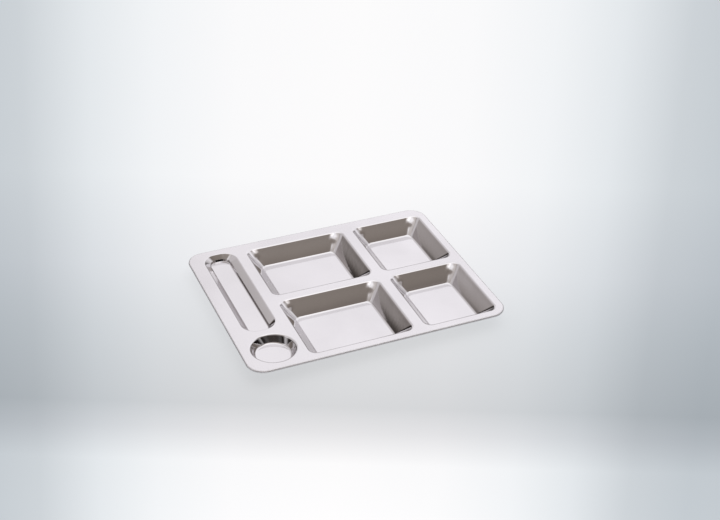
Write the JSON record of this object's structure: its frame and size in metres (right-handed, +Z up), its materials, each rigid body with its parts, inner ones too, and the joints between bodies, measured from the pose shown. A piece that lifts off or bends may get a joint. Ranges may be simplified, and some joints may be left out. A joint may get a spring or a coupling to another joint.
{
  "type": "divided compartment tray",
  "caption": "Rectangular pressed steel tray with splayed food wells, a long cutlery slot and a round cup well in a flat deck with a curled edge.",
  "frame": {"origin": "on the table, under the middle of the tray's outline", "axes": "+X along the long side towards the narrow wells, +Y from the near edge to the far edge, +Z up"},
  "size_m": [0.39, 0.305, 0.0237],
  "materials": {
    "stainless_steel": "polished"
  },
  "bodies": {
    "root": {"deck_sheet": "stainless_steel", "rolled_edge": "stainless_steel", "rear_left_well": "stainless_steel", "rear_right_well": "stainless_steel", "front_left_well": "stainless_steel", "front_right_well": "stainless_steel", "cutlery_slot": "stainless_steel", "cup_well": "stainless_steel"}
  },
  "joints": []
}
